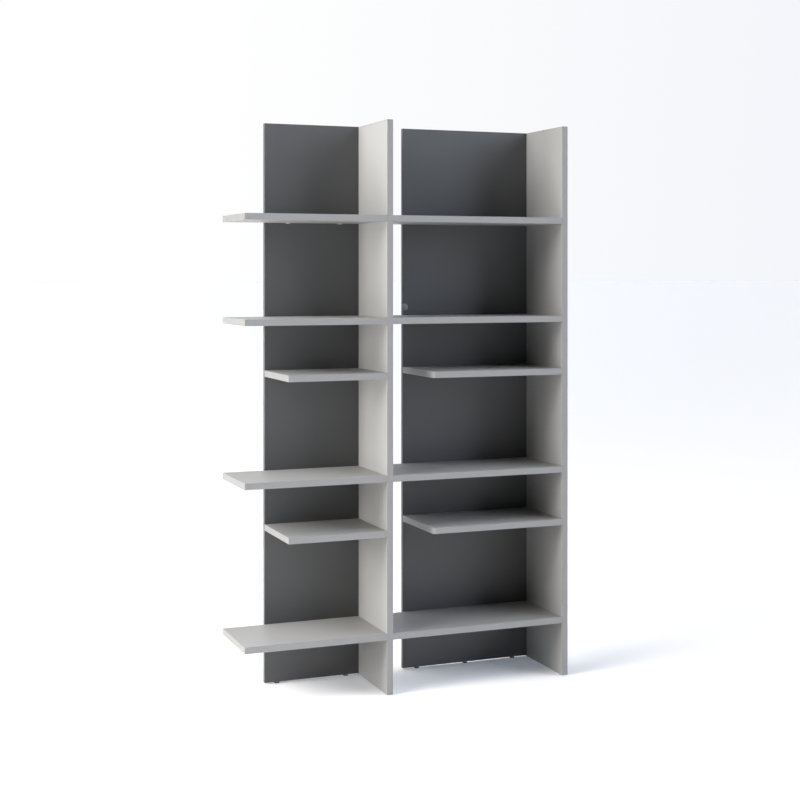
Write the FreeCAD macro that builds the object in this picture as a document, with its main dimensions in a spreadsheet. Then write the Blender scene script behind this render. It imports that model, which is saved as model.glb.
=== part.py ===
import FreeCAD
import Part
import Sketcher
import math
import os
import re

# A two-column open bookshelf of laminated boards: two uprights, two back panels and twelve shelves of two
# lengths. The left long shelves run past their panel and hang free. Millimetres, +X to the viewer's right,
# +Y to the back, +Z up, with the origin on the floor under the middle of the outline.

SIZES = {
    # Boards
    "board": 22,  # thickness of the uprights and shelves
    "panel": 16,  # thickness of the back panels
    "depth": 300,  # front to back over all
    "upright_height": 1960,
    "left_length": 500,  # left long shelves
    "left_width": 350,  # left panel and left short shelves
    "clear_span": 648,  # between the uprights
    "right_width": 500,  # right panel and right short shelves
    # Heights of the shelves
    "first_shelf": 186,  # foot of the upright to the underside of the lowest shelf
    "tall_pitch": 350,  # shelf to shelf over a tall compartment
    "low_pitch": 188,  # shelf to shelf over a low compartment
    # Edge banding
    "band": 2,  # thickness of the strip
    "band_bevel": 0.8,  # along its two outer edges
    "corner_radius": 15,  # front corner of the right short shelves
    # Loose tongues and their grooves
    "tongue_width": 14,
    "tongue_thickness": 4,
    "tongue_play": 0.1,  # across the thickness, both sides together
    "tongue_rest": 0.5,  # groove left free beyond each edge and end of a tongue
    "end_inset": 50,  # front or back edge of a shelf to the tongue in its end
    "back_inset": 60,  # end of a short shelf to the tongue in its back edge
    "edge_inset": 100,  # foot or top of a panel to the tongue in its side edge
    # Connectors between the left long shelves and their panel
    "connector_diameter": 20,
    "connector_depth": 16,
    "connector_edge": 9.5,  # panel to the axis of the housing
    "connector_from_upright": 75,
    "connector_spacing": 192,
    "boss_diameter": 16,
    "boss_height": 2.8,
    "driver_slot_length": 6,
    "driver_slot_width": 1.6,
    "driver_slot_depth": 1.4,
    "driver_slot_front": 4.6,  # axis of the housing to the middle of the driver slot
    "bolt_diameter": 6,
    "bolt_reach": 10.5,  # out of the panel
    "bolt_sunk": 10,  # in the panel
    "fit": 0.1,  # play of a round piece in its hole, across the diameter
    "hole_rest": 1,  # depth left free beyond the end of a pin
    # Levelling feet under the back panels
    "pad_width": 16,  # across the flats
    "pad_height": 3.3,
    "pad_bevel": 0.8,
    "tip_diameter": 3,  # lower end of the screw
    "tip_length": 2,
    "nut_width": 10,  # across the flats of the screw's collar
    "nut_height": 1.5,
    "foot_play": 0.2,  # collar to the panel's lower edge, fully screwed in
    "screw_diameter": 6,
    "screw_length": 30,
    "left_foot_inset": 47,
    "right_foot_inset": 57,
    # Glides under the uprights
    "glide_width": 18,
    "glide_length": 60,
    "glide_height": 2,
    "glide_bevel": 0.8,
    "glide_inset": 15,  # front or back of the upright to the nearer end of the glide
    # Cap at the right panel's free edge
    "cap_diameter": 26,
    "cap_rim": 3,
    "cap_crown_diameter": 18,
    "cap_height": 8,
    "cap_pin_diameter": 5,
    "cap_pin_length": 9,
    "cap_edge": 6.5,  # free edge of the panel to the axis of the cap
    "cap_above": 28.6,  # top of the third long shelf to the axis of the cap
}

UP = FreeCAD.Vector(0, 0, 1)
RIGHT = FreeCAD.Vector(1, 0, 0)
BACK = FreeCAD.Vector(0, 1, 0)
ON_EDGE = 0.001  # nearer than this counts as on a line
CORNER = 1 / math.sqrt(3)  # centre to corner of a hexagon one wide across its flats

# Places as expressions of the sizes, in the frame of the whole object
LEFT_END = "(0 - (left_length + 2 * board + clear_span) / 2)"
MIDDLE_LEFT = f"({LEFT_END} + left_length)"
MIDDLE_RIGHT = f"({MIDDLE_LEFT} + board)"
RIGHT_LEFT = f"({MIDDLE_RIGHT} + clear_span)"
FRONT = "(0 - depth / 2)"
PANEL_FACE = "(depth / 2 - panel)"
SHELF_DEPTH = "(depth - panel)"
TOP = "(glide_height + upright_height)"
FOOT_HEIGHT = "(pad_height + nut_height + foot_play)"
LEFT_PANEL = f"({MIDDLE_LEFT} - left_width)"
RIGHT_PANEL = f"({RIGHT_LEFT} - right_width)"

# Undersides of the shelves above the foot of the upright
LONG = (
    "first_shelf",
    "(first_shelf + tall_pitch + low_pitch)",
    "(first_shelf + 2 * tall_pitch + 2 * low_pitch)",
    "(first_shelf + 3 * tall_pitch + 2 * low_pitch)",
)
SHORT = ("(first_shelf + tall_pitch)", "(first_shelf + 2 * tall_pitch + low_pitch)")

# Where tongues begin and end: along a shelf's end and along a panel's side edge
END_SPAN = ("end_inset", f"({SHELF_DEPTH} - end_inset)")
EDGE_SPAN = (f"({FOOT_HEIGHT} + edge_inset)", f"({TOP} - edge_inset)")
CONNECTORS = ("connector_from_upright", "(connector_from_upright + connector_spacing)")
HOUSING_HOLE = "(connector_diameter + fit)"
BOLT_HOLE = "(bolt_diameter + fit)"
LEFT_FEET = ("left_foot_inset", "(left_width - left_foot_inset)")
RIGHT_FEET = ("right_foot_inset", "(right_width / 2)", "(right_width - right_foot_inset)")
GLIDES = ("glide_inset", "(depth - glide_inset - glide_length)")
CAP_HEIGHT = f"(glide_height + {LONG[2]} + board + cap_above)"

doc = FreeCAD.newDocument("Bookshelf")
sheet = doc.addObject("Spreadsheet::Sheet", "Sizes")
for row, (name, number) in enumerate(SIZES.items(), 1):
    sheet.set(f"A{row}", name)
    sheet.set(f"B{row}", str(number))
    sheet.setAlias(f"B{row}", name)
doc.recompute()
subparts = []


def cells(text):
    """An expression of size names, with each name as a cell of the sheet."""
    return re.sub(r"[a-z][a-z_]*", lambda word: "Sizes." + word[0], text)


def value(text):
    """What an expression of size names comes to."""
    return float(sheet.evalExpression(cells(text)))


def new_body(label, place, rotation=FreeCAD.Rotation()):
    """A body at a place given as three expressions."""
    body = doc.addObject("PartDesign::Body", label)
    body.Placement = FreeCAD.Placement(FreeCAD.Vector(), rotation)
    for axis, text in zip("xyz", place):
        body.setExpression(f"Placement.Base.{axis}", cells(text))
    return body


def sketch_on(body, role, offset="0"):
    """An empty sketch on one of the body's own planes, moved along the plane's normal."""
    sketch = body.newObject("Sketcher::SketchObject", "Sketch")
    plane = next(item for item in body.Origin.OriginFeatures if item.Role == role)
    sketch.AttachmentSupport = (plane, [""])
    sketch.MapMode = "FlatFace"
    sketch.setExpression("AttachmentOffset.Base.z", cells(offset))
    return sketch


def bind(sketch, kind, *points, to):
    """A dimension of the sketch, bound to an expression."""
    index = sketch.addConstraint(Sketcher.Constraint(kind, *points, value(to)))
    sketch.setExpression(f"Constraints[{index}]", cells(to))


def close(sketch):
    """Joins the lines and arcs of a sketch end to end into one closed outline."""
    count = sketch.GeometryCount
    for item in range(count):
        sketch.addConstraint(Sketcher.Constraint("Coincident", item, 2, (item + 1) % count, 1))


def outline(sketch, points):
    """A closed outline of straight lines through points given as pairs of expressions."""
    corners = [FreeCAD.Vector(value(across), value(up)) for across, up in points]
    for start, end in zip(corners, corners[1:] + corners[:1]):
        sketch.addGeometry(Part.LineSegment(start, end), False)
    close(sketch)
    for line, (across, up) in enumerate(points):
        bind(sketch, "DistanceX", -1, 1, line, 1, to=across)
        bind(sketch, "DistanceY", -1, 1, line, 1, to=up)


def rectangle(sketch, left, low, right, high):
    """A rectangle between four expressions."""
    outline(sketch, [(left, low), (right, low), (right, high), (left, high)])


def hexagon(sketch, width):
    """A regular hexagon round the origin, its width measured across the flats."""
    side = f"{width} / 2"
    far = f"{CORNER} * {width}"
    near = f"{far} / 2"
    right_half = [(near, f"0 - {side}"), (far, "0"), (near, side)]
    left_half = [(f"0 - {near}", side), (f"0 - {far}", "0"), (f"0 - {near}", f"0 - {side}")]
    outline(sketch, right_half + left_half)


def round_cornered(sketch, left, low, right, high, radius):
    """A rectangle between four expressions, with its lower left corner rounded."""
    bend = value(radius)
    centre = FreeCAD.Vector(value(left) + bend, value(low) + bend)
    front_start = centre - FreeCAD.Vector(0, bend)
    front_end = FreeCAD.Vector(value(right), value(low))
    far_corner = FreeCAD.Vector(value(right), value(high))
    end_start = FreeCAD.Vector(value(left), value(high))
    end_end = centre - FreeCAD.Vector(bend, 0)
    run = [front_start, front_end, far_corner, end_start, end_end]
    for start, end in zip(run, run[1:]):
        sketch.addGeometry(Part.LineSegment(start, end), False)
    corner = Part.ArcOfCircle(Part.Circle(centre, UP, bend), math.pi, 1.5 * math.pi)
    arc = sketch.addGeometry(corner, False)
    close(sketch)
    for line, kind in enumerate(("Horizontal", "Vertical", "Horizontal", "Vertical")):
        sketch.addConstraint(Sketcher.Constraint(kind, line))
    bind(sketch, "Radius", arc, to=radius)
    bind(sketch, "DistanceX", -1, 1, arc, 1, to=left)
    bind(sketch, "DistanceY", -1, 1, arc, 1, to=f"{low} + {radius}")
    bind(sketch, "DistanceX", -1, 1, arc, 2, to=f"{left} + {radius}")
    bind(sketch, "DistanceY", -1, 1, arc, 2, to=low)
    bind(sketch, "DistanceX", -1, 1, 1, 2, to=right)
    bind(sketch, "DistanceY", -1, 1, 1, 2, to=high)


def circles(sketch, diameter, centres):
    """Like circles at places given as pairs of expressions."""
    for across, along in centres:
        centre = FreeCAD.Vector(value(across), value(along))
        circle = sketch.addGeometry(Part.Circle(centre, UP, value(diameter) / 2), False)
        bind(sketch, "Diameter", circle, to=diameter)
        bind(sketch, "DistanceX", -1, 1, circle, 3, to=across)
        bind(sketch, "DistanceY", -1, 1, circle, 3, to=along)


def pad(body, sketch, length, side="along"):
    """Material from a sketch: along its normal, against it, or half to each side."""
    feature = body.newObject("PartDesign::Pad", "Pad")
    feature.Profile = sketch
    feature.setExpression("Length", cells(length))
    feature.SideType = "Symmetric" if side == "both" else "One side"
    feature.Reversed = side == "against"
    doc.recompute()


def cut(body, sketch, length, side):
    """A pocket from a sketch: along its normal, against it, or half to each side."""
    before = body.Shape.Volume
    feature = body.newObject("PartDesign::Pocket", "Pocket")
    feature.Profile = sketch
    feature.setExpression("Length", cells(length))
    feature.SideType = "Symmetric" if side == "both" else "One side"
    feature.Reversed = side == "along"
    doc.recompute()
    if body.Shape.Volume > before - ON_EDGE:
        raise RuntimeError(f"a pocket of {body.Label} cuts nothing")


def bevel(body, size, wanted):
    """Bevels the edges of the body so far that a test picks."""
    base = body.Tip
    names = [f"Edge{number}" for number, edge in enumerate(base.Shape.Edges, 1) if wanted(edge.BoundBox)]
    feature = body.newObject("PartDesign::Chamfer", "Chamfer")
    feature.Base = (base, names)
    feature.setExpression("Size", cells(size))
    doc.recompute()


def drill(body, role, offset, diameter, centres, depth, side):
    """Blind round holes in one face of a body."""
    sketch = sketch_on(body, role, offset)
    circles(sketch, diameter, centres)
    cut(body, sketch, depth, side)


def about(line):
    """The two edges of a tongue that lies half to each side of a joint."""
    return (f"{line} - tongue_width / 2", f"{line} + tongue_width / 2")


def groove(body, role, offset, across, up):
    """A stopped groove in the plane of a joint: the outline of the tongue, a little larger all round."""
    sketch = sketch_on(body, role, offset)
    rectangle(
        sketch,
        f"{across[0]} - tongue_rest",
        f"{up[0]} - tongue_rest",
        f"{across[1]} + tongue_rest",
        f"{up[1]} + tongue_rest",
    )
    cut(body, sketch, "tongue_thickness + tongue_play", "both")


def gather(label, pieces):
    """Like pieces as one node."""
    node = doc.addObject("Part::Compound", label)
    node.Links = pieces
    subparts.append(node)


# Edge banding


def strip(start, outward, along, length, width):
    """One glued strip: flat where it meets the board, its two outer long edges bevelled."""
    body = new_body("Strip", start, FreeCAD.Rotation(outward.cross(along), outward, along, "ZYX"))
    sketch = sketch_on(body, "XY_Plane")
    rectangle(sketch, f"0 - {width} / 2", "0", f"{width} / 2", "band")
    pad(body, sketch, length)
    outer = value("band") - ON_EDGE
    bevel(body, "band_bevel", lambda box: box.YMin > outer and box.XLength < ON_EDGE)
    return body


# Shelves


def shelf(label, x, level, length, left_band, back_band, corner=None):
    """A shelf board without its strips, its lower left front corner at the origin of its body."""
    body = new_body(label, (x, FRONT, f"glide_height + {level}"))
    sketch = sketch_on(body, "XY_Plane")
    sides = (left_band, "band", length, f"{SHELF_DEPTH} - {back_band}")
    if corner:
        round_cornered(sketch, *sides, corner)
    else:
        rectangle(sketch, *sides)
    pad(body, sketch, "board")
    subparts.append(body)
    return body


def end_groove(body, x):
    """The groove in one end of a shelf."""
    groove(body, "XY_Plane", "board / 2", about(x), END_SPAN)


def back_groove(body, length):
    """The groove in the back edge of a short shelf."""
    groove(body, "XY_Plane", "board / 2", ("back_inset", f"{length} - back_inset"), about(SHELF_DEPTH))


def front_strip(x, level, length):
    start = (x, f"{FRONT} + band", f"glide_height + {level} + board / 2")
    return strip(start, -BACK, RIGHT, length, "board")


def back_strip(x, level, length):
    start = (x, f"{PANEL_FACE} - band", f"glide_height + {level} + board / 2")
    return strip(start, BACK, RIGHT, length, "board")


def end_strip(x, level, length):
    start = (f"{x} + band", f"{FRONT} + band", f"glide_height + {level} + board / 2")
    return strip(start, -RIGHT, BACK, length, "board")


def left_long_shelf(number, level):
    """A shelf that hangs free past the panel, held by a tongue in its end and two connectors."""
    label = f"left_long_shelf_{number}"
    body = shelf(label, LEFT_END, level, "left_length", "band", "band")
    end_groove(body, "left_length")
    places = [f"left_length - {x}" for x in CONNECTORS]
    housings = [(x, f"{SHELF_DEPTH} - connector_edge") for x in places]
    drill(body, "XY_Plane", "0", HOUSING_HOLE, housings, "connector_depth", "along")
    front = front_strip(LEFT_END, level, "left_length")
    end = end_strip(LEFT_END, level, f"{SHELF_DEPTH} - 2 * band")
    back = back_strip(LEFT_END, level, "left_length")
    windows = [("band - connector_edge", x) for x in places]
    drill(back, "YZ_Plane", "board / 2", HOUSING_HOLE, windows, "connector_depth", "against")
    gather(f"{label}_edging", [front, end, back])


def right_long_shelf(number, level):
    """A shelf between the two uprights, held by a tongue at each end."""
    label = f"right_long_shelf_{number}"
    body = shelf(label, MIDDLE_RIGHT, level, "clear_span", "0", "band")
    end_groove(body, "0")
    end_groove(body, "clear_span")
    front = front_strip(MIDDLE_RIGHT, level, "clear_span")
    back = back_strip(MIDDLE_RIGHT, level, "clear_span")
    gather(f"{label}_edging", [front, back])


def left_short_shelf(number, level):
    """A shelf that stops flush with the left panel, with a square front corner."""
    label = f"left_short_shelf_{number}"
    body = shelf(label, LEFT_PANEL, level, "left_width", "band", "0")
    end_groove(body, "left_width")
    back_groove(body, "left_width")
    front = front_strip(LEFT_PANEL, level, "left_width")
    end = end_strip(LEFT_PANEL, level, f"{SHELF_DEPTH} - band")
    gather(f"{label}_edging", [front, end])


def right_short_shelf(number, level):
    """A shelf that stops flush with the right panel, with a round front corner under one bent strip."""
    label = f"right_short_shelf_{number}"
    body = shelf(label, RIGHT_PANEL, level, "right_width", "band", "0", "(corner_radius - band)")
    end_groove(body, "right_width")
    back_groove(body, "right_width")

    wrap = new_body(f"{label}_edging", (RIGHT_PANEL, FRONT, f"glide_height + {level}"))
    sketch = sketch_on(wrap, "XY_Plane")
    round_cornered(sketch, "0", "0", "right_width", SHELF_DEPTH, "corner_radius")
    pad(wrap, sketch, "board")
    sketch = sketch_on(wrap, "XY_Plane")
    round_cornered(sketch, "band", "band", "right_width", SHELF_DEPTH, "(corner_radius - band)")
    cut(wrap, sketch, "board", "along")
    straight = value("corner_radius") - ON_EDGE

    def outer_edge(box):
        """The level edges of the strip's outer side: along the end, the corner and the front."""
        along_end = box.XMax < ON_EDGE and box.YLength > straight
        along_front = box.YMax < ON_EDGE and box.XLength > straight
        round_corner = box.XMin < ON_EDGE and box.YMin < ON_EDGE
        return box.ZLength < ON_EDGE and (along_end or along_front or round_corner)

    bevel(wrap, "band_bevel", outer_edge)
    subparts.append(wrap)


for number, level in enumerate(LONG, 1):
    left_long_shelf(number, level)
    right_long_shelf(number, level)
for number, level in enumerate(SHORT, 1):
    left_short_shelf(number, level)
    right_short_shelf(number, level)


# Uprights


def upright(label, x, right_levels):
    """A full-height board, grooved for the shelves and the panel."""
    body = new_body(label, (x, FRONT, "glide_height"))
    sketch = sketch_on(body, "XY_Plane")
    rectangle(sketch, "0", "band", "board", "depth - band")
    pad(body, sketch, "upright_height - band")
    for level in LONG + SHORT:
        groove(body, "XY_Plane", f"{level} + board / 2", about("0"), END_SPAN)
    for level in right_levels:
        groove(body, "XY_Plane", f"{level} + board / 2", about("board"), END_SPAN)
    groove(body, "XZ_Plane", "panel / 2 - depth", about("0"), [f"{z} - glide_height" for z in EDGE_SPAN])
    subparts.append(body)

    middle = f"{x} + board / 2"
    front = strip((middle, f"{FRONT} + band", "glide_height"), -BACK, UP, "upright_height", "board")
    back = strip((middle, "depth / 2 - band", "glide_height"), BACK, UP, "upright_height", "board")
    top = strip((middle, f"{FRONT} + band", f"{TOP} - band"), UP, BACK, "depth - 2 * band", "board")
    gather(f"{label}_edging", [front, back, top])


upright("middle_upright", MIDDLE_LEFT, LONG)
upright("right_upright", RIGHT_LEFT, ())


# Back panels


def back_panel(label, x, width, feet):
    """A thin full-height panel, grooved for the upright and the short shelves and bored for its feet."""
    body = new_body(label, (x, PANEL_FACE, FOOT_HEIGHT))
    sketch = sketch_on(body, "XY_Plane")
    rectangle(sketch, "band", "0", width, "panel")
    pad(body, sketch, f"{TOP} - {FOOT_HEIGHT} - band")
    groove(body, "XZ_Plane", "0 - panel / 2", about(width), [f"{z} - {FOOT_HEIGHT}" for z in EDGE_SPAN])
    for level in SHORT:
        height = f"glide_height + {level} + board / 2 - {FOOT_HEIGHT}"
        groove(body, "XY_Plane", height, ("back_inset", f"{width} - back_inset"), about("0"))
    holes = [(foot, "panel / 2") for foot in feet]
    drill(body, "XY_Plane", "0", "screw_diameter + fit", holes, "screw_length + hole_rest", "along")
    subparts.append(body)

    middle = f"{PANEL_FACE} + panel / 2"
    side = strip((f"{x} + band", middle, FOOT_HEIGHT), -RIGHT, UP, f"{TOP} - {FOOT_HEIGHT}", "panel")
    top = strip((f"{x} + band", middle, f"{TOP} - band"), UP, RIGHT, f"{width} - band", "panel")
    gather(f"{label}_edging", [side, top])
    return body


left_panel = back_panel("left_back_panel", LEFT_PANEL, "left_width", LEFT_FEET)
bolt_holes = []
for level in LONG:
    height = f"glide_height + {level} + board / 2 - {FOOT_HEIGHT}"
    bolt_holes += [(f"left_width - {x}", height) for x in CONNECTORS]
drill(left_panel, "XZ_Plane", "0", BOLT_HOLE, bolt_holes, "bolt_sunk + hole_rest", "against")

right_panel = back_panel("right_back_panel", RIGHT_PANEL, "right_width", RIGHT_FEET)
cap_hole = [("cap_edge", f"{CAP_HEIGHT} - {FOOT_HEIGHT}")]
cap_hole_depth = "cap_pin_length + hole_rest"
drill(right_panel, "XZ_Plane", "0", "cap_pin_diameter + fit", cap_hole, cap_hole_depth, "against")


# Tongues


def tongue(start, rotation, length):
    """A strip of beech that runs along its body's Y axis, half its width in each of the two boards."""
    body = new_body("Tongue", start, rotation)
    sketch = sketch_on(body, "XY_Plane")
    rectangle(sketch, "0 - tongue_width / 2", "0", "tongue_width / 2", length)
    pad(body, sketch, "tongue_thickness", "both")
    return body


FRONT_TO_BACK = FreeCAD.Rotation()
LEFT_TO_RIGHT = FreeCAD.Rotation(UP, -90)
FOOT_TO_TOP = FreeCAD.Rotation(RIGHT, 90)

shelf_ends = [(MIDDLE_LEFT, level) for level in LONG + SHORT]
shelf_ends += [(MIDDLE_RIGHT, level) for level in LONG]
shelf_ends += [(RIGHT_LEFT, level) for level in LONG + SHORT]
end_tongues = []
for x, level in shelf_ends:
    start = (x, f"{FRONT} + {END_SPAN[0]}", f"glide_height + {level} + board / 2")
    end_tongues.append(tongue(start, FRONT_TO_BACK, f"{END_SPAN[1]} - {END_SPAN[0]}"))
gather("shelf_end_tongues", end_tongues)

back_tongues = []
for level in SHORT:
    for x, width in ((LEFT_PANEL, "left_width"), (RIGHT_PANEL, "right_width")):
        start = (f"{x} + back_inset", PANEL_FACE, f"glide_height + {level} + board / 2")
        back_tongues.append(tongue(start, LEFT_TO_RIGHT, f"{width} - 2 * back_inset"))
gather("short_shelf_tongues", back_tongues)

edge_tongues = []
for x in (MIDDLE_LEFT, RIGHT_LEFT):
    start = (x, f"{PANEL_FACE} + panel / 2", EDGE_SPAN[0])
    edge_tongues.append(tongue(start, FOOT_TO_TOP, f"{EDGE_SPAN[1]} - {EDGE_SPAN[0]}"))
gather("panel_tongues", edge_tongues)


# Connectors: a plastic housing in the underside of the shelf, hung on a bolt that stands out of the panel


def housing(x, level):
    """A barrel in the shelf over a narrower boss, flat towards the panel and slotted for the bolt."""
    body = new_body("Housing", (x, f"{PANEL_FACE} - connector_edge", f"glide_height + {level}"))
    boss = sketch_on(body, "XY_Plane")
    circles(boss, "boss_diameter", [("0", "0")])
    pad(body, boss, "boss_height", "against")
    barrel = sketch_on(body, "XY_Plane")
    circles(barrel, "connector_diameter", [("0", "0")])
    pad(body, barrel, "connector_depth")

    flat = sketch_on(body, "XY_Plane")
    wide = "connector_diameter"
    rectangle(flat, f"0 - {wide}", "connector_edge - fit", wide, wide)
    cut(body, flat, "connector_depth", "along")
    underside = "0 - boss_height"
    slot = sketch_on(body, "XY_Plane", underside)
    slot_end = "connector_edge - bolt_reach - fit"
    rectangle(slot, f"0 - {BOLT_HOLE} / 2", slot_end, f"{BOLT_HOLE} / 2", "connector_edge")
    cut(body, slot, f"boss_height + board / 2 + {BOLT_HOLE} / 2", "along")
    driver = sketch_on(body, "XY_Plane", underside)
    rectangle(
        driver,
        "0 - driver_slot_length / 2",
        "0 - driver_slot_front - driver_slot_width / 2",
        "driver_slot_length / 2",
        "0 - driver_slot_front + driver_slot_width / 2",
    )
    cut(body, driver, "driver_slot_depth", "along")
    return body


def bolt(x, level):
    """A bolt in the front of the panel, its free end in the slot of the housing."""
    body = new_body("Bolt", (x, PANEL_FACE, f"glide_height + {level} + board / 2"))
    shank = sketch_on(body, "XZ_Plane", "bolt_reach")
    circles(shank, "bolt_diameter", [("0", "0")])
    pad(body, shank, "bolt_reach + bolt_sunk", "against")
    return body


joints = [(f"{MIDDLE_LEFT} - {x}", level) for level in LONG for x in CONNECTORS]
gather("panel_connectors", [housing(x, level) for x, level in joints])
gather("connector_bolts", [bolt(x, level) for x, level in joints])


# Levelling feet: a pad on the floor and a screw that turns in it and in the panel's lower edge


def foot_pad(label, x):
    """A six-sided plastic pad with a socket for the end of its screw."""
    body = new_body(label, (x, f"{PANEL_FACE} + panel / 2", "0"))
    base = sketch_on(body, "XY_Plane")
    hexagon(base, "pad_width")
    pad(body, base, "pad_height")
    high = value("pad_height") - ON_EDGE
    bevel(body, "pad_bevel", lambda box: box.ZMin > high)
    socket = "pad_height - tip_length"
    drill(body, "XY_Plane", socket, "tip_diameter + fit", [("0", "0")], "tip_length", "along")
    subparts.append(body)


def foot_screw(label, x):
    """A screw with a six-sided collar, its thin tip standing in the pad's socket."""
    body = new_body(label, (x, f"{PANEL_FACE} + panel / 2", "pad_height + fit"))
    collar = sketch_on(body, "XY_Plane")
    hexagon(collar, "nut_width")
    pad(body, collar, "nut_height - fit")
    shaft = sketch_on(body, "XY_Plane", "nut_height - fit")
    circles(shaft, "screw_diameter", [("0", "0")])
    pad(body, shaft, "screw_length")
    tip = sketch_on(body, "XY_Plane")
    circles(tip, "tip_diameter", [("0", "0")])
    pad(body, tip, "tip_length", "against")
    subparts.append(body)


for side, panel_left, feet in (("left", LEFT_PANEL, LEFT_FEET), ("right", RIGHT_PANEL, RIGHT_FEET)):
    for number, inset in enumerate(feet, 1):
        foot_pad(f"{side}_foot_pad_{number}", f"{panel_left} + {inset}")
        foot_screw(f"{side}_foot_screw_{number}", f"{panel_left} + {inset}")


# Glides


def glide(x, y):
    """A flat plastic strip under the lower edge of an upright, bevelled all round below."""
    body = new_body("Glide", (x, y, "0"))
    sketch = sketch_on(body, "XY_Plane")
    rectangle(sketch, "0 - glide_width / 2", "0", "glide_width / 2", "glide_length")
    pad(body, sketch, "glide_height")
    bevel(body, "glide_bevel", lambda box: box.ZMax < ON_EDGE)
    return body


middles = [f"{x} + board / 2" for x in (MIDDLE_LEFT, RIGHT_LEFT)]
gather("upright_glides", [glide(x, f"{FRONT} + {y}") for x in middles for y in GLIDES])


# Cap: turned, sloping from its rim to a flat crown, on a pin pushed into the front of the right panel

cap_place = (f"{RIGHT_PANEL} + cap_edge", PANEL_FACE, CAP_HEIGHT)
cap = new_body("panel_edge_cap", cap_place, FreeCAD.Rotation(RIGHT, 90))
profile = sketch_on(cap, "XZ_Plane")
rim = [("cap_diameter / 2", "0"), ("cap_diameter / 2", "cap_rim")]
crown = [("cap_crown_diameter / 2", "cap_height"), ("0", "cap_height")]
outline(profile, [("0", "0")] + rim + crown)
turned = cap.newObject("PartDesign::Revolution", "Revolution")
turned.Profile = profile
turned.ReferenceAxis = (profile, ["V_Axis"])
turned.Angle = 360
doc.recompute()
pin = sketch_on(cap, "XY_Plane")
circles(pin, "cap_pin_diameter", [("0", "0")])
pad(cap, pin, "cap_pin_length", "against")
subparts.append(cap)


# Every object has to be sound before its solid is written

doc.recompute()
for item in doc.Objects:
    if "Invalid" in item.State or "Error" in item.State:
        owner = item.getParentGeoFeatureGroup() or item
        raise RuntimeError(f"{item.Label} of {owner.Label} did not build")
os.makedirs("parts", exist_ok=True)
for node in subparts:
    if node.Shape.isNull() or not node.Shape.isValid() or not node.Shape.Solids:
        raise RuntimeError(f"{node.Label} has no sound solid")
    node.Shape.exportStep(f"parts/{node.Label}.step")
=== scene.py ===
import math

import bmesh
import bpy
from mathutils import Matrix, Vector


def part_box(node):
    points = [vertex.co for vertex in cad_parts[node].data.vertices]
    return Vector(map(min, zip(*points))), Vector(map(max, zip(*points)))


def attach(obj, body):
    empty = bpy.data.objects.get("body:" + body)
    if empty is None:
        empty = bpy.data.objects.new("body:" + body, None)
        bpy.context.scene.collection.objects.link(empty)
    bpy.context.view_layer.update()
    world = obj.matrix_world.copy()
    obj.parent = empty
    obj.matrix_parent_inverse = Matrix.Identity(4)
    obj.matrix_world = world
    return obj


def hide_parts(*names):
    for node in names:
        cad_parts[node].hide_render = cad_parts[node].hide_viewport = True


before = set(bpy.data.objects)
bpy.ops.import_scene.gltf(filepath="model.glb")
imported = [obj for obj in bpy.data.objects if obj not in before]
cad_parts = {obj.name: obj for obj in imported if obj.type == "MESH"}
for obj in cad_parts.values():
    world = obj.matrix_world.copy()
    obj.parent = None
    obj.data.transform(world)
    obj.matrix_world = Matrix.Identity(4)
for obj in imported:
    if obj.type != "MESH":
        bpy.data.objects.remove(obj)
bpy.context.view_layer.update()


# The two uprights are 22 mm chipboard, faced on both sides with light-grey melamine paper.
# The paper is pressed against a pearl-textured plate, which leaves a fine dull grain.
# They stand on edge from floor to top, carry the shelves and hold both back panels in line.

def add(tree, kind, inputs=None, **settings):
    """One node of a tree. An input is a value, or the socket that feeds it."""
    made = tree.nodes.new(kind)
    for name, value in settings.items():
        setattr(made, name, value)
    for key, value in (inputs or {}).items():
        if isinstance(value, bpy.types.NodeSocket):
            tree.links.new(value, made.inputs[key])
        else:
            made.inputs[key].default_value = value
    return made


def surface_effect(name, colour, numbers, vectors=()):
    """An empty shader group that turns a base colour into a colour, a roughness and a height."""
    group = bpy.data.node_groups.new(name, "ShaderNodeTree")
    sockets = [("Colour", "NodeSocketColor", colour)]
    sockets += [(label, "NodeSocketFloat", value) for label, value in numbers]
    sockets += [(label, "NodeSocketVector", value) for label, value in vectors]
    for label, kind, value in sockets:
        group.interface.new_socket(label, in_out="INPUT", socket_type=kind).default_value = value
    for label, kind in (("Colour", "NodeSocketColor"), ("Roughness", "NodeSocketFloat"),
                        ("Height", "NodeSocketFloat")):
        group.interface.new_socket(label, in_out="OUTPUT", socket_type=kind)
    return group, add(group, "NodeGroupInput").outputs, add(group, "NodeGroupOutput")


def toned(group, colour, pattern, amount):
    """The colour, made lighter and darker by a pattern from 0 to 1 that is 0.5 on average."""
    centred = add(group, "ShaderNodeMath", {0: pattern, 1: 0.5}, operation="SUBTRACT")
    scaled = add(group, "ShaderNodeMath", {0: centred.outputs[0], 1: amount}, operation="MULTIPLY")
    value = add(group, "ShaderNodeMath", {0: scaled.outputs[0], 1: 1.0}, operation="ADD")
    return add(group, "ShaderNodeHueSaturation",
               {"Value": value.outputs[0], "Color": colour}).outputs["Color"]


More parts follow.
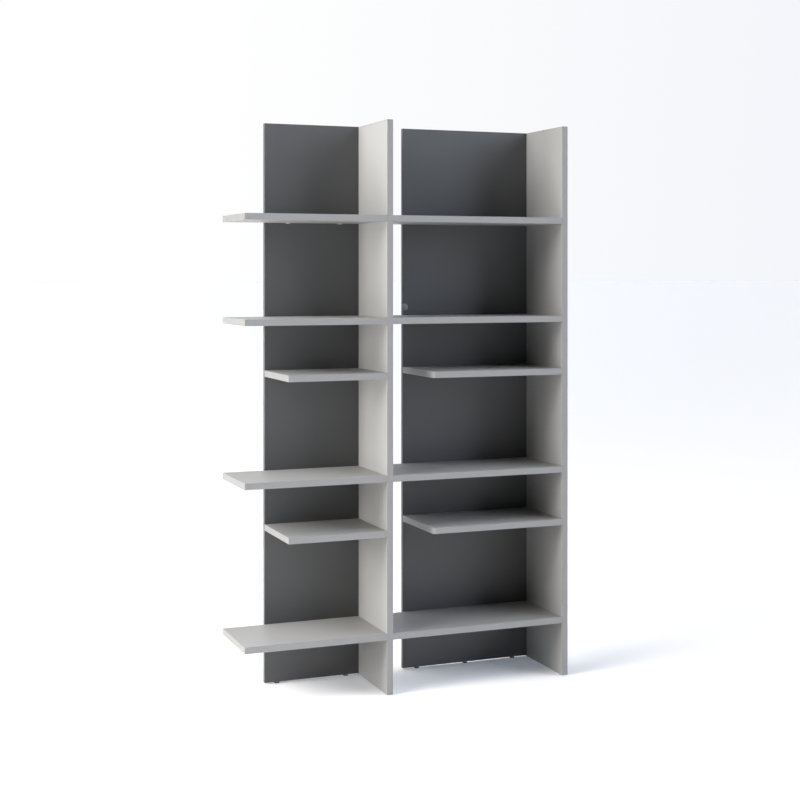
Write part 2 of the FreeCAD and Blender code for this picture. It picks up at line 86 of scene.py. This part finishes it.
def finish(name, effect, values, depth, **constants):
    """A material: one effect drives the shader, and what is the same all over is set on it."""
    material = bpy.data.materials.new(name)
    material.use_nodes = True
    tree = material.node_tree
    shader = tree.nodes["Principled BSDF"]
    for socket, value in constants.items():
        shader.inputs[socket.replace("_", " ")].default_value = value
    look = add(tree, "ShaderNodeGroup", node_tree=effect)
    for socket, value in values.items():
        look.inputs[socket].default_value = value
    bump = add(tree, "ShaderNodeBump", {"Height": look.outputs["Height"], "Distance": depth})
    tree.links.new(look.outputs["Colour"], shader.inputs["Base Color"])
    tree.links.new(look.outputs["Roughness"], shader.inputs["Roughness"])
    tree.links.new(bump.outputs["Normal"], shader.inputs["Normal"])
    return material


def dress(names, material):
    """Gives CAD nodes their finish."""
    for name in names:
        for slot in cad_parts[name].material_slots:
            slot.material = material


pressed_paper, paper_in, paper_out = surface_effect(
    "pressed paper", (0.3, 0.3, 0.3, 1.0),
    [("Speckle", 0.03), ("Clouding", 0.03), ("Gloss", 0.45), ("Gloss spread", 0.1)])
paper_at = add(pressed_paper, "ShaderNodeTexCoord").outputs["Object"]
paper_speckle = add(pressed_paper, "ShaderNodeTexNoise",
                    {"Vector": paper_at, "Scale": 850.0, "Detail": 2.0}).outputs["Fac"]
paper_clouds = add(pressed_paper, "ShaderNodeTexNoise",
                   {"Vector": paper_at, "Scale": 14.0, "Detail": 4.0}).outputs["Fac"]
plate_pearl = add(pressed_paper, "ShaderNodeTexVoronoi",
                  {"Vector": paper_at, "Scale": 1100.0}, feature="SMOOTH_F1").outputs["Distance"]
paper_clouded = toned(pressed_paper, paper_in["Colour"], paper_clouds, paper_in["Clouding"])
paper_colour = toned(pressed_paper, paper_clouded, paper_speckle, paper_in["Speckle"])
paper_sheen = add(pressed_paper, "ShaderNodeMath",
                  {0: paper_clouds, 1: paper_in["Gloss spread"], 2: paper_in["Gloss"]},
                  operation="MULTIPLY_ADD")
pressed_paper.links.new(paper_colour, paper_out.inputs["Colour"])
pressed_paper.links.new(paper_sheen.outputs[0], paper_out.inputs["Roughness"])
pressed_paper.links.new(plate_pearl, paper_out.inputs["Height"])

PEARL_DEPTH = 0.00004
light_grey_laminate = finish(
    "light_grey_laminate", pressed_paper,
    {"Colour": (0.294, 0.2906, 0.285, 1.0), "Speckle": 0.05, "Clouding": 0.03, "Gloss": 0.42,
     "Gloss spread": 0.12}, PEARL_DEPTH)
dress(["middle_upright", "right_upright"], light_grey_laminate)


# The edge bands are 2 mm strips of grey plastic, glued round the free edges of every board.
# They are trimmed flush and bevelled, and the scraper leaves fine lines along their length.
# The grey is a little darker than the paper's. On the left shelves, band faces turned
# to the left, towards the key light, get painted shade.

scraped_band, band_in, band_out = surface_effect(
    "scraped band", (0.3, 0.3, 0.3, 1.0),
    [("Streaks", 0.05), ("Gloss", 0.35), ("Gloss spread", 0.12), ("End shade", 0.0)],
    [("Across", (1.0, 1.0, 1.0))])
band_at = add(scraped_band, "ShaderNodeTexCoord").outputs
band_run = add(scraped_band, "ShaderNodeVectorMath", {0: band_at["Object"], 1: band_in["Across"]},
               operation="MULTIPLY").outputs["Vector"]
# Painted shade: band faces turned to the left, towards the key light, are made darker.
band_side = add(scraped_band, "ShaderNodeSeparateXYZ", {"Vector": band_at["Normal"]}).outputs["X"]
band_left_facing = add(scraped_band, "ShaderNodeMath", {0: band_side, 1: 0.0}, operation="MINIMUM")
band_painted_shade_value = add(scraped_band, "ShaderNodeMath",
                 {0: band_left_facing.outputs[0], 1: band_in["End shade"], 2: 1.0},
                 operation="MULTIPLY_ADD")
band_with_painted_shade = add(scraped_band, "ShaderNodeHueSaturation",
                  {"Value": band_painted_shade_value.outputs[0], "Color": band_in["Colour"]}).outputs["Color"]
band_lines = add(scraped_band, "ShaderNodeTexNoise",
                 {"Vector": band_run, "Scale": 1.0, "Detail": 3.0}).outputs["Fac"]
band_colour = toned(scraped_band, band_with_painted_shade, band_lines, band_in["Streaks"])
band_sheen = add(scraped_band, "ShaderNodeMath",
                 {0: band_lines, 1: band_in["Gloss spread"], 2: band_in["Gloss"]},
                 operation="MULTIPLY_ADD")
scraped_band.links.new(band_colour, band_out.inputs["Colour"])
scraped_band.links.new(band_sheen.outputs[0], band_out.inputs["Roughness"])
scraped_band.links.new(band_lines, band_out.inputs["Height"])

BAND_GREY = (0.247, 0.243, 0.239, 1.0)
BAND_SPECULAR = 0.3
LEFT_END_PAINTED_SHADE = 0.16
SCRAPED_DEPTH = 0.00002
LINES_PER_METRE = 1500.0
LINE_WANDER = 12.0
ACROSS_UPRIGHT = (LINES_PER_METRE, LINE_WANDER, LINE_WANDER)
ACROSS_SHELF = (LINE_WANDER, LINE_WANDER, LINES_PER_METRE)
ACROSS_PANEL = (LINE_WANDER, LINES_PER_METRE, LINE_WANDER)
upright_band = finish(
    "grey_edging_upright", scraped_band, {"Colour": BAND_GREY, "Across": ACROSS_UPRIGHT},
    SCRAPED_DEPTH, Specular_IOR_Level=BAND_SPECULAR)
shelf_band = finish(
    "grey_edging_shelf", scraped_band, {"Colour": BAND_GREY, "Across": ACROSS_SHELF},
    SCRAPED_DEPTH, Specular_IOR_Level=BAND_SPECULAR)
# Painted shade: a copy of the shelf band whose left-facing ends are darker.
left_shelf_band_painted_shade = finish(
    "grey_edging_left_shelf_painted_shade", scraped_band,
    {"Colour": BAND_GREY, "Across": ACROSS_SHELF, "End shade": LEFT_END_PAINTED_SHADE},
    SCRAPED_DEPTH, Specular_IOR_Level=BAND_SPECULAR)
dress(["middle_upright_edging", "right_upright_edging"], upright_band)


# Four flat glides of black plastic are nailed under the uprights, two to each.
# They keep the banded ends off the floor.

moulded_plastic, plastic_in, plastic_out = surface_effect(
    "moulded plastic", (0.05, 0.05, 0.05, 1.0), [("Mottle", 0.08), ("Gloss", 0.4)])
plastic_at = add(moulded_plastic, "ShaderNodeTexCoord").outputs["Object"]
spark_grain = add(moulded_plastic, "ShaderNodeTexNoise",
                  {"Vector": plastic_at, "Scale": 2400.0, "Detail": 2.0}).outputs["Fac"]
flow_marks = add(moulded_plastic, "ShaderNodeTexNoise",
                 {"Vector": plastic_at, "Scale": 180.0, "Detail": 3.0,
                  "Distortion": 0.6}).outputs["Fac"]
plastic_colour = toned(moulded_plastic, plastic_in["Colour"], flow_marks, plastic_in["Mottle"])
PLASTIC_GLOSS_SPREAD = 0.15
plastic_sheen = add(moulded_plastic, "ShaderNodeMath",
                    {0: flow_marks, 1: PLASTIC_GLOSS_SPREAD, 2: plastic_in["Gloss"]},
                    operation="MULTIPLY_ADD")
moulded_plastic.links.new(plastic_colour, plastic_out.inputs["Colour"])
moulded_plastic.links.new(plastic_sheen.outputs[0], plastic_out.inputs["Roughness"])
moulded_plastic.links.new(spark_grain, plastic_out.inputs["Height"])

SPARK_DEPTH = 0.00003
black_plastic = finish(
    "black_plastic", moulded_plastic, {"Colour": (0.022, 0.022, 0.024, 1.0), "Gloss": 0.42},
    SPARK_DEPTH)
dress(["upright_glides"], black_plastic)


# The two back panels are 16 mm chipboard faced with graphite-grey melamine paper.
# They stand behind the shelves on their own feet, tongued into the uprights.
# Their free edges have a thin graphite band.

graphite_laminate = finish(
    "graphite_laminate", pressed_paper,
    {"Colour": (0.0642, 0.0651, 0.0668, 1.0), "Speckle": 0.12, "Clouding": 0.05, "Gloss": 0.36,
     "Gloss spread": 0.10}, PEARL_DEPTH)
panel_band = finish(
    "graphite_edging", scraped_band,
    {"Colour": (0.0676, 0.0685, 0.071, 1.0), "Across": ACROSS_PANEL}, SCRAPED_DEPTH)
dress(["left_back_panel", "right_back_panel"], graphite_laminate)
dress(["left_back_panel_edging", "right_back_panel_edging"], panel_band)


# Loose tongues of beech sit in grooves milled into the boards, and hold them in line.
# Planed and unfinished, they are pale pink-brown with short dark flecks along the grain.

planed_beech, beech_in, beech_out = surface_effect(
    "planed beech", (0.5, 0.3, 0.2, 1.0), [("Growth rings", 0.15), ("Flecks", 0.35)])
beech_at = add(planed_beech, "ShaderNodeTexCoord").outputs["Object"]
GRAIN_STRETCH = (220.0, 22.0, 220.0)
along_grain = add(planed_beech, "ShaderNodeVectorMath", {0: beech_at, 1: GRAIN_STRETCH},
                  operation="MULTIPLY").outputs["Vector"]
growth_rings = add(planed_beech, "ShaderNodeTexNoise",
                   {"Vector": along_grain, "Scale": 1.0, "Detail": 4.0,
                    "Distortion": 0.4}).outputs["Fac"]
ray_cells = add(planed_beech, "ShaderNodeTexVoronoi",
                {"Vector": along_grain, "Scale": 6.0}).outputs["Distance"]
ray_flecks = add(planed_beech, "ShaderNodeMapRange",
                 {"Value": ray_cells, "From Min": 0.12, "From Max": 0.30, "To Min": 0.0,
                  "To Max": 0.5}).outputs["Result"]
beech_ringed = toned(planed_beech, beech_in["Colour"], growth_rings, beech_in["Growth rings"])
beech_colour = toned(planed_beech, beech_ringed, ray_flecks, beech_in["Flecks"])
BEECH_GLOSS = 0.5
BEECH_GLOSS_SPREAD = 0.2
beech_sheen = add(planed_beech, "ShaderNodeMath",
                  {0: growth_rings, 1: BEECH_GLOSS_SPREAD, 2: BEECH_GLOSS},
                  operation="MULTIPLY_ADD")
planed_beech.links.new(beech_colour, beech_out.inputs["Colour"])
planed_beech.links.new(beech_sheen.outputs[0], beech_out.inputs["Roughness"])
planed_beech.links.new(growth_rings, beech_out.inputs["Height"])

GRAIN_DEPTH = 0.00005
beech = finish("beech", planed_beech, {"Colour": (0.52, 0.31, 0.19, 1.0)}, GRAIN_DEPTH)
dress(["shelf_end_tongues", "short_shelf_tongues", "panel_tongues"], beech)


# Five levelling feet carry the back panels: a six-sided black pad under a zinc-plated screw.
# Turning the screw's six-sided collar drives its thread out of the panel's lower edge.
# The pad is pressed on the screw's tip and stays still on the floor while the screw turns.

zinc_plate, zinc_in, zinc_out = surface_effect(
    "zinc plate", (0.6, 0.6, 0.6, 1.0), [("Spangle", 0.12), ("Gloss", 0.28)])
zinc_at = add(zinc_plate, "ShaderNodeTexCoord").outputs["Object"]
zinc_spangle = add(zinc_plate, "ShaderNodeTexVoronoi",
                   {"Vector": zinc_at, "Scale": 900.0}).outputs["Distance"]
zinc_haze = add(zinc_plate, "ShaderNodeTexNoise",
                {"Vector": zinc_at, "Scale": 300.0, "Detail": 4.0}).outputs["Fac"]
zinc_colour = toned(zinc_plate, zinc_in["Colour"], zinc_spangle, zinc_in["Spangle"])
ZINC_GLOSS_SPREAD = 0.25
zinc_sheen = add(zinc_plate, "ShaderNodeMath",
                 {0: zinc_haze, 1: ZINC_GLOSS_SPREAD, 2: zinc_in["Gloss"]},
                 operation="MULTIPLY_ADD")
zinc_plate.links.new(zinc_colour, zinc_out.inputs["Colour"])
zinc_plate.links.new(zinc_sheen.outputs[0], zinc_out.inputs["Roughness"])
zinc_plate.links.new(zinc_haze, zinc_out.inputs["Height"])

ZINC_DEPTH = 0.00001
steel = finish("steel", zinc_plate, {"Colour": (0.62, 0.63, 0.65, 1.0)}, ZINC_DEPTH, Metallic=1.0)

LEFT_FEET = 2
RIGHT_FEET = 3
feet = [f"left_foot_{n}" for n in range(1, LEFT_FEET + 1)]
feet += [f"right_foot_{n}" for n in range(1, RIGHT_FEET + 1)]
THREAD_PITCH = 0.001
THREAD_CREST = 0.003
THREAD_RIDGE = 0.00045
COLLAR_ACROSS_FLATS = 0.010
COLLAR_HEIGHT = 0.0015
TIP_RADIUS = 0.0015
TIP_HEIGHT = 0.002
THREAD_STEPS = 28
RIDGE_SIDES = 4
COLLAR_SIDES = 6
TIP_STEPS = 24


def named_inputs(tree, sockets):
    """The sockets of a geometry tree: geometry in and out, and its sizes and finish by name."""
    tree.interface.new_socket("Places", in_out="INPUT", socket_type="NodeSocketGeometry")
    identifiers = {}
    for label, kind in sockets:
        made = tree.interface.new_socket(label, in_out="INPUT", socket_type=kind)
        identifiers[label] = made.identifier
    tree.interface.new_socket("Pieces", in_out="OUTPUT", socket_type="NodeSocketGeometry")
    return identifiers, add(tree, "NodeGroupInput").outputs


def set_at_places(tree, given, shape):
    """Ends a tree: the shape set at each place, made real and given its finish."""
    places = add(tree, "GeometryNodeMeshToPoints", {"Mesh": given["Places"]})
    copies = add(tree, "GeometryNodeInstanceOnPoints",
                 {"Points": places.outputs["Points"], "Instance": shape})
    real = add(tree, "GeometryNodeRealizeInstances", {"Geometry": copies.outputs["Instances"]})
    finished = add(tree, "GeometryNodeSetMaterial",
                   {"Geometry": real.outputs["Geometry"], "Material": given["Finish"]})
    add(tree, "NodeGroupOutput", {"Pieces": finished.outputs["Geometry"]})


def made_by(tree, identifiers, name, places, values):
    """A plain mesh piece: the tree run once on a mesh of bare points."""
    points = bpy.data.meshes.new(name + "_places")
    points.from_pydata(places, [], [])
    maker = bpy.data.objects.new(name + "_maker", points)
    bpy.context.scene.collection.objects.link(maker)
    modifier = maker.modifiers.new("maker", "NODES")
    modifier.node_group = tree
    for label, value in values.items():
        modifier[identifiers[label]] = value
    evaluated = maker.evaluated_get(bpy.context.evaluated_depsgraph_get())
    mesh = bpy.data.meshes.new_from_object(evaluated)
    maker.modifiers.remove(modifier)
    bpy.data.objects.remove(maker)
    piece = bpy.data.objects.new(name, mesh)
    bpy.context.scene.collection.objects.link(piece)
    return piece


def raised(tree, mesh, height):
    """A mesh moved up by a height."""
    lift = add(tree, "ShaderNodeCombineXYZ", {"Z": height})
    return add(tree, "GeometryNodeTransform",
               {"Geometry": mesh, "Translation": lift.outputs["Vector"]}).outputs["Geometry"]


def half_of(tree, length):
    """Half of a length."""
    return add(tree, "ShaderNodeMath", {0: length, 1: 0.5}, operation="MULTIPLY").outputs[0]


screw_tree = bpy.data.node_groups.new("levelling_screw", "GeometryNodeTree")
screw_sockets, screw_in = named_inputs(screw_tree, [
    ("Thread length", "NodeSocketFloat"), ("Pitch", "NodeSocketFloat"),
    ("Core radius", "NodeSocketFloat"), ("Ridge", "NodeSocketFloat"),
    ("Collar radius", "NodeSocketFloat"), ("Collar height", "NodeSocketFloat"),
    ("Tip radius", "NodeSocketFloat"), ("Tip height", "NodeSocketFloat"),
    ("Finish", "NodeSocketMaterial")])
turns = add(screw_tree, "ShaderNodeMath", {0: screw_in["Thread length"], 1: screw_in["Pitch"]},
            operation="DIVIDE")
ridge_line = add(screw_tree, "GeometryNodeCurveSpiral",
                 {"Resolution": THREAD_STEPS, "Rotations": turns.outputs[0],
                  "Start Radius": screw_in["Core radius"], "End Radius": screw_in["Core radius"],
                  "Height": screw_in["Thread length"]})
ridge_upright = add(screw_tree, "GeometryNodeSetCurveNormal",
                    {"Curve": ridge_line.outputs["Curve"]}, mode="Z_UP")
ridge_section = add(screw_tree, "GeometryNodeCurvePrimitiveCircle",
                    {"Resolution": RIDGE_SIDES, "Radius": screw_in["Ridge"]})
ridge = add(screw_tree, "GeometryNodeCurveToMesh",
            {"Curve": ridge_upright.outputs["Curve"],
             "Profile Curve": ridge_section.outputs["Curve"], "Fill Caps": True})
core = add(screw_tree, "GeometryNodeMeshCylinder",
           {"Vertices": THREAD_STEPS, "Radius": screw_in["Core radius"],
            "Depth": screw_in["Thread length"]})
collar = add(screw_tree, "GeometryNodeMeshCylinder",
             {"Vertices": COLLAR_SIDES, "Radius": screw_in["Collar radius"],
              "Depth": screw_in["Collar height"]})
tip = add(screw_tree, "GeometryNodeMeshCylinder",
          {"Vertices": TIP_STEPS, "Radius": screw_in["Tip radius"],
           "Depth": screw_in["Tip height"]})
collar_bottom = screw_in["Tip height"]
collar_middle = add(screw_tree, "ShaderNodeMath",
                    {0: collar_bottom, 1: half_of(screw_tree, screw_in["Collar height"])},
                    operation="ADD").outputs[0]
collar_top = add(screw_tree, "ShaderNodeMath",
                 {0: collar_bottom, 1: screw_in["Collar height"]}, operation="ADD").outputs[0]
core_middle = add(screw_tree, "ShaderNodeMath",
                  {0: collar_top, 1: half_of(screw_tree, screw_in["Thread length"])},
                  operation="ADD").outputs[0]
screw_parts = add(screw_tree, "GeometryNodeJoinGeometry")
for part in (raised(screw_tree, ridge.outputs["Mesh"], collar_top),
             raised(screw_tree, core.outputs["Mesh"], core_middle),
             raised(screw_tree, collar.outputs["Mesh"], collar_middle),
             raised(screw_tree, tip.outputs["Mesh"], half_of(screw_tree, collar_bottom))):
    screw_tree.links.new(part, screw_parts.inputs["Geometry"])
set_at_places(screw_tree, screw_in, screw_parts.outputs["Geometry"])

for foot in feet:
    side, number = foot.rsplit("_", 1)
    pad_node = f"{side}_pad_{number}"
    screw_node = f"{side}_screw_{number}"
    low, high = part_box(screw_node)
    middle = (low + high) / 2
    screw = made_by(screw_tree, screw_sockets, foot + "_threaded_screw",
                    [(middle.x, middle.y, low.z)],
                    {"Thread length": high.z - low.z - TIP_HEIGHT - COLLAR_HEIGHT - THREAD_RIDGE,
                     "Pitch": THREAD_PITCH, "Core radius": THREAD_CREST - THREAD_RIDGE,
                     "Ridge": THREAD_RIDGE,
                     "Collar radius": COLLAR_ACROSS_FLATS / 2 / math.cos(math.pi / COLLAR_SIDES),
                     "Collar height": COLLAR_HEIGHT, "Tip radius": TIP_RADIUS,
                     "Tip height": TIP_HEIGHT, "Finish": steel})
    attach(screw, foot + "_screw")
    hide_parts(screw_node)
    dress([pad_node], black_plastic)


# Twelve shelves of the same light-grey board, long and short, are tongued into the uprights.
# Four on the left run past their panel and hang free; the short ones stop at the panel's edge.
# The short ones on the right have a round front corner, with the band bent round it.

LONG_SHELVES = 4
SHORT_SHELVES = 2
shelves = [f"{side}_long_shelf_{n}" for side in ("left", "right")
           for n in range(1, LONG_SHELVES + 1)]
shelves += [f"{side}_short_shelf_{n}" for side in ("left", "right")
            for n in range(1, SHORT_SHELVES + 1)]
dress(shelves, light_grey_laminate)
for shelf in shelves:
    dress([shelf + "_edging"], left_shelf_band_painted_shade if shelf.startswith("left") else shelf_band)


# Two grey plastic housings under each left long shelf hang it on bolts in the back panel.
# A zinc cam in each housing draws the bolt in; its slotted face shows from below.

grey_plastic = finish(
    "grey_plastic", moulded_plastic, {"Colour": (0.42, 0.42, 0.41, 1.0), "Gloss": 0.38},
    SPARK_DEPTH)
dress(["panel_connectors"], grey_plastic)
dress(["connector_bolts"], steel)

HOUSING_RADIUS = 0.010
CAM_FORWARD = 0.0046
CAM_RADIUS = 0.0031
CAM_THICKNESS = 0.0006
CAM_SLOT = 0.0016
CAM_STEPS = 40
SLOT_RADII = 4.0

cam_tree = bpy.data.node_groups.new("connector_cam", "GeometryNodeTree")
cam_sockets, cam_in = named_inputs(cam_tree, [
    ("Radius", "NodeSocketFloat"), ("Thickness", "NodeSocketFloat"),
    ("Slot", "NodeSocketFloat"), ("Finish", "NodeSocketMaterial")])
cam_disc = add(cam_tree, "GeometryNodeMeshCylinder",
               {"Vertices": CAM_STEPS, "Radius": cam_in["Radius"], "Depth": cam_in["Thickness"]})
slot_length = add(cam_tree, "ShaderNodeMath", {0: cam_in["Radius"], 1: SLOT_RADII},
                  operation="MULTIPLY")
slot_size = add(cam_tree, "ShaderNodeCombineXYZ",
                {"X": slot_length.outputs[0], "Y": cam_in["Slot"], "Z": cam_in["Radius"]})
slot_block = add(cam_tree, "GeometryNodeMeshCube", {"Size": slot_size.outputs["Vector"]})
cam_slotted = add(cam_tree, "GeometryNodeMeshBoolean",
                  {"Mesh 1": cam_disc.outputs["Mesh"], "Mesh 2": slot_block.outputs["Mesh"]},
                  operation="DIFFERENCE")
set_at_places(cam_tree, cam_in, cam_slotted.outputs["Mesh"])

housing_low, housing_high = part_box("panel_connectors")
cam_columns = (housing_low.x + HOUSING_RADIUS, housing_high.x - HOUSING_RADIUS)
cam_y = housing_low.y + HOUSING_RADIUS - CAM_FORWARD
lowest_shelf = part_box("left_long_shelf_1")[0].z
cam_places = []
for number in range(1, LONG_SHELVES + 1):
    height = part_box(f"left_long_shelf_{number}")[0].z - lowest_shelf
    cam_places += [(x, cam_y, housing_low.z + height) for x in cam_columns]
cams = made_by(cam_tree, cam_sockets, "connector_cams", cam_places,
               {"Radius": CAM_RADIUS, "Thickness": CAM_THICKNESS, "Slot": CAM_SLOT,
                "Finish": steel})
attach(cams, "case")


# A round cap of dark-grey plastic is pushed into the right back panel beside its free edge.
# It is a shallow dome with a thin rim, turned here about its pin's axis.

cap_plastic = finish(
    "cap_plastic", moulded_plastic, {"Colour": (0.25, 0.25, 0.245, 1.0), "Gloss": 0.42},
    SPARK_DEPTH)
cap_low, cap_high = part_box("panel_edge_cap")
CAP_STEPS = 64
CAP_RIM = 0.0022
CAP_ROUND = 10
SEAM = 0.000001
cap_middle = (cap_low + cap_high) / 2
cap_radius = (cap_high.x - cap_low.x) / 2
panel_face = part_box("right_back_panel")[0].y
dome_height = panel_face - cap_low.y - CAP_RIM
profile = [(cap_radius, 0.0), (cap_radius, CAP_RIM)]
for step in range(1, CAP_ROUND + 1):
    angle = math.pi / 2 * step / CAP_ROUND
    profile.append((cap_radius * math.cos(angle), CAP_RIM + dome_height * math.sin(angle)))
cap_mesh = bmesh.new()
cap_line = [cap_mesh.verts.new((cap_middle.x + radius, panel_face - height, cap_middle.z))
            for radius, height in profile]
for start, end in zip(cap_line, cap_line[1:]):
    cap_mesh.edges.new((start, end))
bmesh.ops.spin(cap_mesh, geom=cap_mesh.verts[:] + cap_mesh.edges[:],
               cent=(cap_middle.x, 0.0, cap_middle.z), axis=(0.0, 1.0, 0.0),
               angle=2 * math.pi, steps=CAP_STEPS)
bmesh.ops.remove_doubles(cap_mesh, verts=cap_mesh.verts, dist=SEAM)
cap_base = [edge for edge in cap_mesh.edges if edge.is_boundary]
bmesh.ops.contextual_create(cap_mesh, geom=cap_base)
bmesh.ops.recalc_face_normals(cap_mesh, faces=cap_mesh.faces)
for face in cap_mesh.faces:
    face.smooth = len(face.verts) < CAP_STEPS
cap_data = bpy.data.meshes.new("domed_cap")
cap_mesh.to_mesh(cap_data)
cap_mesh.free()
cap_data.materials.append(cap_plastic)
cap = bpy.data.objects.new("domed_cap", cap_data)
bpy.context.scene.collection.objects.link(cap)
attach(cap, "case")
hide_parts("panel_edge_cap")


# The studio: a pale floor without an edge, warm soft boxes on the left, and a cool fill light
# on the right. The floor glows a little with a cool light of its own, painted light that lifts
# the shadows on it and lights the object from below; far off on the left it glows more, whiter.
# The backdrop goes from white on the left to a cool tint on the right.
# The camera is at eye height and level, with the view shifted down.

FLOOR_HALF = 200.0
FLOOR_GRAIN = 0.00001
FLOOR_GLOW = 0.13
FAR_LEFT_GLOW = 0.08
FAR_GLOW_STARTS = 3.0
FAR_GLOW_FULL = 12.0
TINT_STARTS = 0.25
TINT_FULL = 0.60

floor_mesh = bpy.data.meshes.new("floor")
floor_mesh.from_pydata(
    [(-FLOOR_HALF, -FLOOR_HALF, 0.0), (FLOOR_HALF, -FLOOR_HALF, 0.0),
     (FLOOR_HALF, FLOOR_HALF, 0.0), (-FLOOR_HALF, FLOOR_HALF, 0.0)], [], [(0, 1, 2, 3)])
pale_floor = finish(
    "pale_floor", pressed_paper,
    {"Colour": (0.97, 0.93, 0.885, 1.0), "Speckle": 0.01, "Clouding": 0.01, "Gloss": 0.75,
     "Gloss spread": 0.05}, FLOOR_GRAIN, Emission_Color=(0.80, 0.95, 1.2, 1.0))
floor_tree = pale_floor.node_tree
# Painted light: the floor's own glow lifts and cools its shadows, and is stronger far off on the
# left.
floor_at = add(floor_tree, "ShaderNodeTexCoord").outputs["Object"]
floor_way = add(floor_tree, "ShaderNodeVectorMath", {0: floor_at}, operation="NORMALIZE")
floor_right = add(floor_tree, "ShaderNodeSeparateXYZ",
                  {"Vector": floor_way.outputs["Vector"]}).outputs["X"]
floor_away = add(floor_tree, "ShaderNodeVectorMath", {0: floor_at}, operation="LENGTH")
floor_left_glow = add(floor_tree, "ShaderNodeMapRange",
                 {"Value": floor_right, "From Min": TINT_STARTS, "From Max": TINT_FULL,
                  "To Min": FAR_LEFT_GLOW, "To Max": 0.0}).outputs["Result"]
floor_far_glow_share = add(floor_tree, "ShaderNodeMapRange",
                {"Value": floor_away.outputs["Value"], "From Min": FAR_GLOW_STARTS,
                 "From Max": FAR_GLOW_FULL})
floor_glow = add(floor_tree, "ShaderNodeMath",
                 {0: floor_left_glow, 1: floor_far_glow_share.outputs["Result"], 2: FLOOR_GLOW},
                 operation="MULTIPLY_ADD")
floor_tree.links.new(floor_glow.outputs[0],
                     floor_tree.nodes["Principled BSDF"].inputs["Emission Strength"])
floor_mesh.materials.append(pale_floor)
floor = bpy.data.objects.new("floor", floor_mesh)
bpy.context.scene.collection.objects.link(floor)

WARM_WHITE = (1.0, 0.985, 0.955)
WHITE = (1.0, 1.0, 1.0)
COOL_WHITE = (0.87, 0.955, 1.11)


def lamp(name, kind, energy, colour, towards):
    """A lamp that shines from a direction."""
    data = bpy.data.lights.new(name, kind)
    data.energy = energy
    data.color = colour
    made = bpy.data.objects.new(name, data)
    made.rotation_euler = Vector(towards).to_track_quat("Z", "Y").to_euler()
    bpy.context.scene.collection.objects.link(made)
    return made


def soft_box(name, place, aim, side, energy, colour, beam=180.0):
    """A square soft box beside the object, out of the camera's sight."""
    made = lamp(name, "AREA", energy, colour, Vector(place) - Vector(aim))
    made.location = place
    made.data.size = side
    made.data.spread = math.radians(beam)
    made.visible_camera = False


def far_light(name, towards, energy, spread, colour):
    """A large soft light so far away that it has no fall-off."""
    made = lamp(name, "SUN", energy, colour, towards)
    made.data.angle = math.radians(spread)


soft_box("key", place=(-3.0, 0.0, 1.2), aim=(0.0, 0.0, 1.2), side=1.6, energy=91.0,
         colour=WARM_WHITE)
soft_box("high_key", place=(-3.4, -0.9, 3.6), aim=(0.0, 0.0, 0.9), side=2.4, energy=163.0,
         colour=WARM_WHITE)
soft_box("gap_light", place=(0.40, 0.40, 0.60), aim=(0.40, 0.20, 0.0), side=0.3, energy=0.6,
         colour=WHITE, beam=60.0)
far_light("low_key", towards=(-0.957, -0.203, 0.208), energy=0.77, spread=20.0, colour=WARM_WHITE)
far_light("cool_fill", towards=(0.814, -0.470, 0.342), energy=3.85, spread=60.0, colour=COOL_WHITE)
far_light("back_left", towards=(-0.663, 0.383, 0.643), energy=1.45, spread=50.0, colour=WHITE)
far_light("back", towards=(0.0, 0.82, 0.57), energy=0.78, spread=50.0, colour=WHITE)

BACKDROP_LEFT = (1.0, 1.0, 1.0, 1.0)
BACKDROP_RIGHT = (0.908, 0.917, 0.957, 1.0)
world = bpy.data.worlds.new("studio")
world.use_nodes = True
bpy.context.scene.world = world
room = world.node_tree
backdrop = room.nodes["Background"]
outlook = add(room, "ShaderNodeTexCoord").outputs["Generated"]
outlook_right = add(room, "ShaderNodeSeparateXYZ", {"Vector": outlook}).outputs["X"]
backdrop_share = add(room, "ShaderNodeMapRange",
                     {"Value": outlook_right, "From Min": TINT_STARTS, "From Max": TINT_FULL})
backdrop_tint = add(room, "ShaderNodeValToRGB", {"Fac": backdrop_share.outputs["Result"]})
backdrop_tint.color_ramp.elements[0].color = BACKDROP_LEFT
backdrop_tint.color_ramp.elements[1].color = BACKDROP_RIGHT
room.links.new(backdrop_tint.outputs["Color"], backdrop.inputs["Color"])
seen = add(room, "ShaderNodeLightPath").outputs["Is Camera Ray"]
room.links.new(seen, backdrop.inputs["Strength"])

EYE = (-1.8962, -4.8108, 1.4401)
EYE_LEVEL = 90.0
EYE_TURN = -21.617
LENS = 66.07
VIEW_SHIFT = -0.15936
camera_data = bpy.data.cameras.new("camera")
camera_data.sensor_width = 36.0
camera_data.lens = LENS
camera_data.shift_y = VIEW_SHIFT
camera_data.clip_end = 1000.0
camera = bpy.data.objects.new("camera", camera_data)
camera.location = EYE
camera.rotation_euler = (math.radians(EYE_LEVEL), 0.0, math.radians(EYE_TURN))
bpy.context.scene.collection.objects.link(camera)
bpy.context.scene.camera = camera
bpy.context.scene.view_settings.view_transform = "Standard"
